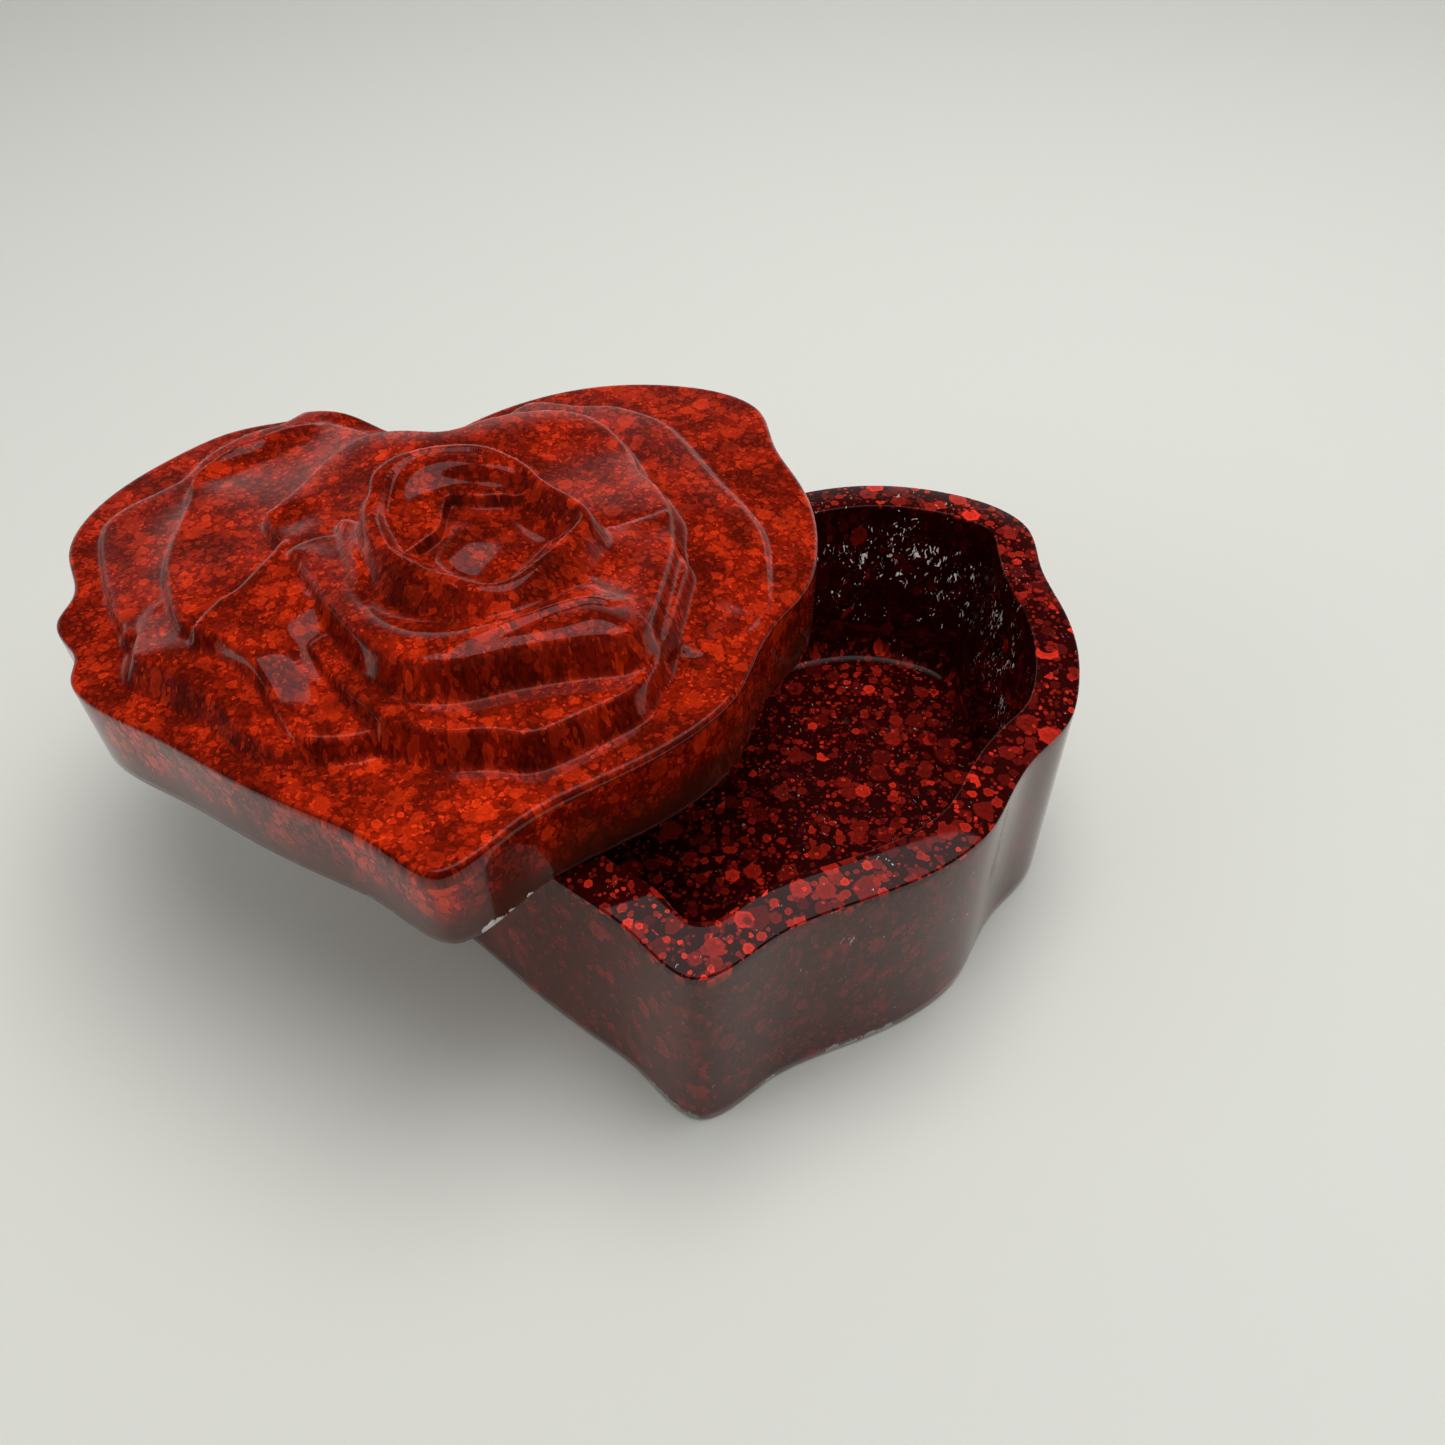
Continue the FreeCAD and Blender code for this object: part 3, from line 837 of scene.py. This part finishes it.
def rose_height(plan):
    """Height of the carved rose over plan points, millimetres over the slab."""
    height = np.zeros(len(plan))
    for petal in LOWER_PETALS:
        height = soft_max(height, petal_height(plan, *petal), FOOT_SOFTNESS)
    near = (np.abs(plan - BOWL_MIDDLE) < 2 * BOWL_SPAN).all(1)
    height[near] = stepped(plan[near], height[near], LIP_STEP, STEP_WIDTH)
    for petal in UPPER_PETALS:
        height = soft_max(height, petal_height(plan, *petal), FOOT_SOFTNESS)
    near = (np.abs(plan - BOWL_MIDDLE) < BOWL_SPAN).all(1)
    depth, values = inside_edge(plan[near], closed_curve(BOWL))
    deep = BOWL_DEPTH + BOWL_TILT * (BOWL_MIDDLE[1] - plan[near][:, 1])
    fall = 1 - np.clip(1 - depth / BOWL_REACH, 0, 1) ** 2
    sunk = values[:, 0] - deep * fall + bumps(plan[near], BOWL_RIDGE)
    bowl = np.where(depth > 0, sunk, values[:, 0] - BOWL_STEEP * depth)
    carved = soft_min(height[near], bowl, FOOT_SOFTNESS)
    fold = petal_height(plan[near], *FOLD)
    height[near] = np.where(depth > 0, soft_max(carved, fold, FOOT_SOFTNESS), carved)
    return height


def outline(node, middle, height, segments, turn=0.0, outward=False):
    """Where level rays round an upright axis meet a node: from outside in, or from the axis out."""
    hits = []
    for step in range(segments):
        angle = math.tau * step / segments + turn
        way = Vector((math.cos(angle), math.sin(angle), 0.0))
        start = Vector((middle[0], middle[1], height))
        if not outward:
            start += way * RAY_START
            way = -way
        met, place, _, _ = bpy.data.objects[node].ray_cast(start, way)
        if not met:
            raise RuntimeError(f"{node} isn't met at height {height}")
        hits.append(place[:2])
    return np.array(hits)


def outward_normals(ring):
    """Level directions out of a closed ring of points that runs anticlockwise."""
    along = np.roll(ring, -1, 0) - np.roll(ring, 1, 0)
    out = np.stack([along[:, 1], -along[:, 0]], 1)
    return out / np.linalg.norm(out, axis=1, keepdims=True)


def lengths_round(ring):
    """Length along a closed ring up to each of its points, and all the way round."""
    steps = np.linalg.norm(np.roll(ring, -1, 0) - ring, axis=1)
    return np.concatenate([[0.0], np.cumsum(steps)])


class Rings:
    """Rings of a casting, from its middle out and down, and the values painted on their corners."""

    def __init__(self, count, marks):
        self.plain = np.zeros(count)
        self.rows = []
        self.walls = {}
        self.marks = {mark: [] for mark in marks}

    def lay(self, ring, wall=None, **values):
        """Add a ring: a wall's ring brings the lengths along it, and a value that isn't given is 0."""
        if wall is not None:
            self.walls[len(self.rows)] = wall
        self.rows.append(ring)
        for mark, rows in self.marks.items():
            rows.append(self.plain + values.get(mark, 0.0))


def cast(name, rings, middle):
    """A closed casting: a grid rolled into rings about a middle, mapped flat or round its walls."""
    columns = len(rings.plain)
    rows = len(rings.rows)
    bm = bmesh.new()
    layers = {mark: bm.verts.layers.float.new(mark) for mark in rings.marks}
    surface = bm.loops.layers.uv.new("surface")
    bmesh.ops.create_grid(bm, x_segments=columns, y_segments=rows, size=1.0)
    verts = list(bm.verts)
    for place, vert in enumerate(verts):
        row, column = divmod(place, columns + 1)
        vert.co = rings.rows[row - 1][column % columns] if row else middle
        for mark, values in rings.marks.items():
            vert[layers[mark]] = values[max(row - 1, 0)][column % columns]
    place_of = {vert: divmod(place, columns + 1) for place, vert in enumerate(verts)}
    for face in bm.faces:
        face.smooth = True
        wall = rings.walls.get(max(place_of[vert][0] for vert in face.verts) - 1)
        for loop in face.loops:
            if wall is None:
                loop[surface].uv = loop.vert.co.xy
            else:
                loop[surface].uv = (wall[place_of[loop.vert][1]], loop.vert.co.z * WALL_FLAKE_HEIGHT)
    seam = {verts[row * (columns + 1) + columns]: verts[row * (columns + 1)] for row in range(1, rows + 1)}
    hub = {verts[column]: verts[0] for column in range(1, columns + 1)}
    bmesh.ops.weld_verts(bm, targetmap={**seam, **hub})
    foot = [edge for edge in bm.edges if edge.is_boundary]
    for edge in foot:
        edge.smooth = False
    sole = bmesh.ops.contextual_create(bm, geom=foot)["faces"]
    for face in sole:
        face.smooth = False
        for loop in face.loops:
            loop[surface].uv = loop.vert.co.xy
    bmesh.ops.recalc_face_normals(bm, faces=bm.faces[:])
    mesh = bpy.data.meshes.new(name)
    bm.to_mesh(mesh)
    bm.free()
    piece = bpy.data.objects.new(name, mesh)
    bpy.context.scene.collection.objects.link(piece)
    return piece


def even_shares(count):
    """Even steps from just over 0 up to 1."""
    return np.linspace(0.0, 1.0, count + 1)[1:]


def quarter_turn(count):
    """Angles in even steps from just over 0 up to a right angle."""
    return np.linspace(0.0, math.pi / 2, count + 1)[1:]


def raised(ring, height):
    """A level ring of points set at a height, or at a height for each point."""
    return np.column_stack([ring, np.broadcast_to(height, len(ring))])


def roughness_round(ring, scale, height):
    """A smooth chance number for each point of a ring, about -1 to 1."""
    return np.array([noise.noise((x * scale, y * scale, height * scale)) for x, y in ring])


def worn_edge(ring, under, height, spared, deep):
    """How worn a lower edge is along its ring, from 0 to 1, and the rings that round it off."""
    wear = np.clip(roughness_round(ring, WEAR_SCALE, height) * WEAR_GAIN - spared, 0.0, 1.0)
    normals = outward_normals(ring)
    rings = [
        raised(ring - normals * (inward + deep * wear)[:, None], under + rise * (1.0 + WEAR_RISE * wear))
        for inward, rise in EDGE_STEPS]
    return wear, rings


def near_places(points, places):
    """How near points lie to round places, from 0 far away to 1 at a place."""
    nearness = np.zeros(len(points))
    for across, along, height, radius in places:
        away = ((points - (across, along, height)) ** 2).sum(1)
        nearness = np.maximum(nearness, np.exp(-away / radius ** 2))
    return nearness


class KEEPSAKE_OT_cast_base(bpy.types.Operator):
    """Cast the hollow base with its rim, drafted cavity and chipped foot"""

    bl_idname = "keepsake.cast_base"
    bl_label = "Cast Base"

    def execute(self, context):
        sizes = context.scene.keepsake_casting
        count = sizes.base_segments
        floor = sizes.floor_height
        corner = sizes.floor_round
        round_over = sizes.rim_round
        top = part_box(BASE_NODE)[1][2] - sizes.seat_gap
        low = floor + corner
        high = top - MOUTH_DEPTH * round_over
        brim = top - sizes.rim_fall - round_over
        rings = Rings(count, ("outside", "inside", "chip"))

        # Floor and its rounded corner
        wall_foot = outline(BASE_NODE, BASE_MIDDLE, low, count, outward=True)
        wall_normals = outward_normals(wall_foot)
        floor_edge = wall_foot - wall_normals * corner
        for share in np.linspace(FIRST_SHARE, 1.0, FLOOR_RINGS):
            rings.lay(raised(floor_edge * share, floor))
        for turn in quarter_turn(CORNER_RINGS):
            ring = wall_foot - wall_normals * (corner * (1 - math.sin(turn)))
            rings.lay(raised(ring, floor + corner * (1 - math.cos(turn))))

        # Uneven wall of the cavity
        inner_lengths = lengths_round(wall_foot)
        for share in even_shares(WALL_RINGS):
            height = low + (high - low) * share
            ring = outline(BASE_NODE, BASE_MIDDLE, height, count, outward=True)
            uneven = roughness_round(ring, RIPPLE_SCALE, height) * math.sin(math.pi * share)
            ring = ring + outward_normals(ring) * (uneven * sizes.ripple)[:, None]
            # The cavity's wall rings are marked for its painted shade
            rings.lay(raised(ring, height), inner_lengths, inside=1.0)

        # Rim with its rounded edges
        mouth = outline(BASE_NODE, BASE_MIDDLE, high, count, outward=True)
        mouth_normals = outward_normals(mouth)
        side = outline(BASE_NODE, BASE_MIDDLE, high, count)
        side_normals = outward_normals(side)
        rim_inner = mouth + mouth_normals * round_over
        rim_outer = side - side_normals * round_over
        for turn in quarter_turn(RIM_EDGE_RINGS):
            ring = mouth + mouth_normals * (round_over * (1 - math.cos(turn)))
            rings.lay(raised(ring, top - round_over + round_over * math.sin(turn)))
        for share in even_shares(RIM_RINGS):
            ring = rim_inner + (rim_outer - rim_inner) * share
            rings.lay(raised(ring, top - sizes.rim_fall * share ** 2))
        for turn in quarter_turn(RIM_EDGE_RINGS):
            ring = rim_outer + side_normals * (round_over * math.sin(turn))
            rings.lay(raised(ring, top - sizes.rim_fall - round_over * (1 - math.cos(turn))))

        # Outer wall and worn foot
        outer_lengths = lengths_round(side)
        wall = []
        for share in even_shares(WALL_RINGS):
            height = brim + (EDGE_START - brim) * share
            wall.append(raised(outline(BASE_NODE, BASE_MIDDLE, height, count), height))
        foot = outline(BASE_NODE, BASE_MIDDLE, EDGE_START, count)
        _, foot_rings = worn_edge(foot, 0.0, *FOOT_WEAR)
        for ring in (*wall, *foot_rings):
            rings.lay(ring, outer_lengths, outside=1.0, chip=near_places(ring / MM, FOOT_CHIPS))

        rings.marks["scuff"] = [
            near_places(ring / MM, WALL_SCUFFS if outside.any() else CAVITY_SCUFFS)
            for ring, outside in zip(rings.rows, rings.marks["outside"])]
        rings.marks["crowd"] = [near_places(ring / MM, CROWDS) for ring in rings.rows]
        piece = cast("base_casting", rings, Vector((*BASE_MIDDLE, floor)))
        piece.data.materials.append(base_material(context.scene.keepsake_resin))
        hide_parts(BASE_NODE)
        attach(piece, "base")
        return {"FINISHED"}


class KEEPSAKE_OT_cast_lid(bpy.types.Operator):
    """Cast the lid: a thick slab with the carved rose, laid where it was photographed"""

    bl_idname = "keepsake.cast_lid"
    bl_label = "Cast Rose Lid"

    def execute(self, context):
        sizes = context.scene.keepsake_casting
        count = sizes.lid_segments
        slab = sizes.slab_thickness
        pivot = Vector(SWING["pos_m"])
        opened = math.radians(SWING["range_deg"][1])
        to_rest = Matrix.Translation(pivot) @ Matrix.Rotation(opened, 4, "Z") @ Matrix.Translation(-pivot)
        to_closed = to_rest.inverted()
        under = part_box(LID_NODE)[0][2]
        slab_top = under + slab
        middle = Vector((*LID_MIDDLE, slab_top))
        side = outline(LID_NODE, to_rest @ middle, under + 0.5 * slab, count, opened)
        side = np.array([(to_closed @ Vector((x, y, 0.0))).xy for x, y in side])
        normals = outward_normals(side)
        edge = side - normals * sizes.edge_round
        rings = Rings(count, ("depth", "chip", "sparse"))

        # Carved top
        middle_plan = np.array(middle.xy)
        plans = [middle_plan + (edge - middle_plan) * share for share in even_shares(sizes.lid_rings)]
        heights = rose_height(np.concatenate(plans) / MM).reshape(len(plans), count) * MM
        for ring, height in zip(plans, heights):
            # Each ring carries the painted shade of the bud's bowl and walls
            rings.lay(raised(ring, slab_top + height), sparse=bumps(ring / MM, PAINTED_SHADE_PLACES))

        # Rounded upper edge, side and worn lower edge
        drop = sizes.edge_round * (1 + bumps(side / MM, WORN_TIP))
        for turn in quarter_turn(LID_EDGE_RINGS):
            ring = edge + normals * (sizes.edge_round * math.sin(turn))
            sink = drop * (1 - math.cos(turn))
            rings.lay(raised(ring, slab_top - sink + heights[-1] * math.cos(turn)), depth=sink / slab)
        lengths = lengths_round(side)
        high = slab - drop
        for share in even_shares(LID_WALL_RINGS):
            height = high + (EDGE_START - high) * share
            ring = raised(side, under + height)
            rings.lay(ring, lengths, depth=1.0 - height / slab, chip=near_places(ring / MM, LID_CHIPS))
        wear, edge_rings = worn_edge(side, under, *LID_WEAR)
        for ring in edge_rings:
            chip = np.maximum(near_places(ring / MM, LID_CHIPS), WEAR_CHIP * wear)
            rings.lay(ring, lengths, depth=1.0, chip=chip)

        top = Vector((*middle.xy, slab_top + rose_height(middle_plan[None] / MM)[0] * MM))
        piece = cast("rose_lid_casting", rings, top)
        piece.data.transform(to_rest)
        piece.data.materials.append(lid_material(context.scene.keepsake_resin))
        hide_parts(LID_NODE)
        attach(piece, "lid")
        return {"FINISHED"}


def room_world(stage):
    """A pale sweep round the stage, brighter behind it, under a dim room."""
    world = bpy.data.worlds.new("room")
    world.use_nodes = True
    world.node_tree.nodes.clear()
    shade = Shade(world.node_tree)
    way = shade.node("ShaderNodeTexCoord", None, None, "Generated")
    parts = shade.node("ShaderNodeSeparateXYZ", None, {0: way})
    behind = parts.out(1).step(*SWEEP_BEHIND)
    sweep = behind * (stage.backdrop_light - stage.front_light) + stage.front_light
    low = parts.out(2).step(*SWEEP_TOP)
    level = low * (sweep - stage.room_light) + stage.room_light
    path = shade.node("ShaderNodeLightPath", None, None, "Is Camera Ray")
    level = level + (1.0 - path.out("Is Glossy Ray")) * stage.soft_light
    strength = path * (stage.backdrop_light - level) + level
    light = shade.node("ShaderNodeBackground", None, {"Color": BACKDROP_TINT, "Strength": strength})
    shade.node("ShaderNodeOutputWorld", None, {"Surface": light})
    return world


def area_lamp(name, power, size, place, target):
    """A round lamp at a place, turned to a target."""
    data = bpy.data.lights.new(name, "AREA")
    data.shape = "DISK"
    data.size = size
    data.energy = power
    lamp = bpy.data.objects.new(name, data)
    towards = Vector(place) - target
    lamp.matrix_world = Matrix.Translation(place) @ towards.to_track_quat("Z", "Y").to_matrix().to_4x4()
    return lamp


def straight_below(place):
    """The point of the floor under a place."""
    return Vector((*place[:2], 0.0))


def stage_lights(stage):
    """The lamp with its soft edge, and the panel and the low light, which aren't mirrored."""
    lamps = []
    for size in LAMP_DISCS:
        power = stage.lamp_power * math.pi * size ** 2 / 4
        lamps.append(area_lamp("lamp", power, size, stage.lamp_place, straight_below(stage.lamp_place)))
    under_panel = straight_below(stage.panel_place)
    panel = area_lamp("panel", stage.panel_power, PANEL_SIZE, stage.panel_place, under_panel)
    fill = area_lamp("fill", stage.fill_power, FILL_SIZE, stage.fill_place, Vector())
    for light in (panel, fill):
        light.visible_glossy = False
    lights = (*lamps, panel, fill)
    for light in lights:
        light.visible_camera = False
    return lights


def dark_card():
    """A black card standing behind the camera, seen only as a reflection."""
    bm = bmesh.new()
    upright = Matrix.Translation(CARD_PLACE) @ Matrix.Rotation(math.pi / 2, 4, "X")
    placing = upright @ Matrix.Diagonal(CARD_HALF)
    bmesh.ops.create_grid(bm, x_segments=1, y_segments=1, size=1.0, matrix=placing)
    mesh = bpy.data.meshes.new("dark_card")
    bm.to_mesh(mesh)
    bm.free()
    material, shade = new_material("black_card")
    paper = shade.node("ShaderNodeBsdfDiffuse", None, {"Color": CARD_COLOUR})
    shade.node("ShaderNodeOutputMaterial", None, {"Surface": paper})
    mesh.materials.append(material)
    card = bpy.data.objects.new("dark_card", mesh)
    card.visible_camera = False
    card.visible_diffuse = False
    card.visible_shadow = False
    return card


def pale_floor(stage):
    """A wide floor that fades into the backdrop, for the camera only, far from its middle."""
    bm = bmesh.new()
    bmesh.ops.create_grid(bm, x_segments=2, y_segments=2, size=FLOOR_HALF)
    mesh = bpy.data.meshes.new("floor")
    bm.to_mesh(mesh)
    bm.free()
    material, shade = new_material("pale_floor")
    paper = shade.node("ShaderNodeBsdfPrincipled", None, {
        "Base Color": opaque(stage.floor_colour), "Roughness": FLOOR_ROUGHNESS,
        "Specular IOR Level": FLOOR_SHINE})
    place = shade.node("ShaderNodeTexCoord", None, None, "Object")
    away = shade.node("ShaderNodeVectorMath", {"operation": "LENGTH"}, {0: place}, "Value")
    seen = shade.node("ShaderNodeLightPath", None, None, "Is Camera Ray")
    glow = shade.node(
        "ShaderNodeEmission", None, {"Color": BACKDROP_TINT, "Strength": stage.backdrop_light})
    fade = away.step(*FLOOR_FADE) * seen
    faded = shade.node("ShaderNodeMixShader", None, {0: fade, 1: paper, 2: glow})
    shade.node("ShaderNodeOutputMaterial", None, {"Surface": faded})
    material.cycles.emission_sampling = "NONE"
    mesh.materials.append(material)
    floor = bpy.data.objects.new("floor", mesh)
    return floor


def photo_camera(stage):
    """A camera where the photograph was taken."""
    data = bpy.data.cameras.new("camera")
    data.sensor_width = FRAME_WIDTH
    data.lens = stage.lens
    data.clip_start = NEAREST
    camera = bpy.data.objects.new("camera", data)
    looking = Matrix.Rotation(math.pi / 2 - stage.camera_pitch, 4, "X")
    leaning = Matrix.Rotation(stage.camera_roll, 4, "Z")
    camera.matrix_world = Matrix.Translation(stage.camera_place) @ looking @ leaning
    return camera


class KEEPSAKE_OT_set_stage(bpy.types.Operator):
    """Lay the floor, hang the lamps and stand the camera where the photograph was taken"""

    bl_idname = "keepsake.set_stage"
    bl_label = "Set Stage"

    def execute(self, context):
        scene = context.scene
        stage = scene.keepsake_stage
        camera = photo_camera(stage)
        for item in (pale_floor(stage), *stage_lights(stage), dark_card(), camera):
            scene.collection.objects.link(item)
        scene.world = room_world(stage)
        scene.camera = camera
        scene.view_settings.view_transform = "Standard"
        return {"FINISHED"}


class KEEPSAKE_PT_pieces(bpy.types.Panel):
    """The pieces of the box and their settings"""

    bl_idname = "KEEPSAKE_PT_pieces"
    bl_label = "Keepsake Box"
    bl_space_type = "VIEW_3D"
    bl_region_type = "UI"
    bl_category = "Keepsake"

    def draw(self, context):
        layout = self.layout
        for operator in OPERATORS:
            layout.operator(operator.bl_idname)
        scene = context.scene
        for settings in (scene.keepsake_casting, scene.keepsake_resin, scene.keepsake_stage):
            column = layout.column()
            for name in settings.__annotations__:
                column.prop(settings, name)


OPERATORS = (KEEPSAKE_OT_set_stage, KEEPSAKE_OT_cast_base, KEEPSAKE_OT_cast_lid)
CLASSES = (ResinSettings, CastingSettings, StageSettings, *OPERATORS, KEEPSAKE_PT_pieces)


def register():
    """Register the classes and hang their settings on the scene."""
    for item in CLASSES:
        bpy.utils.register_class(item)
    bpy.types.Scene.keepsake_resin = PointerProperty(type=ResinSettings)
    bpy.types.Scene.keepsake_casting = PointerProperty(type=CastingSettings)
    bpy.types.Scene.keepsake_stage = PointerProperty(type=StageSettings)


def unregister():
    """Take the settings off the scene and unregister the classes."""
    del bpy.types.Scene.keepsake_stage
    del bpy.types.Scene.keepsake_casting
    del bpy.types.Scene.keepsake_resin
    for item in reversed(CLASSES):
        bpy.utils.unregister_class(item)


def main():
    """Set the stage and cast both pieces."""
    register()
    bpy.ops.keepsake.set_stage()
    bpy.ops.keepsake.cast_base()
    bpy.ops.keepsake.cast_lid()


if __name__ == "__main__":
    main()
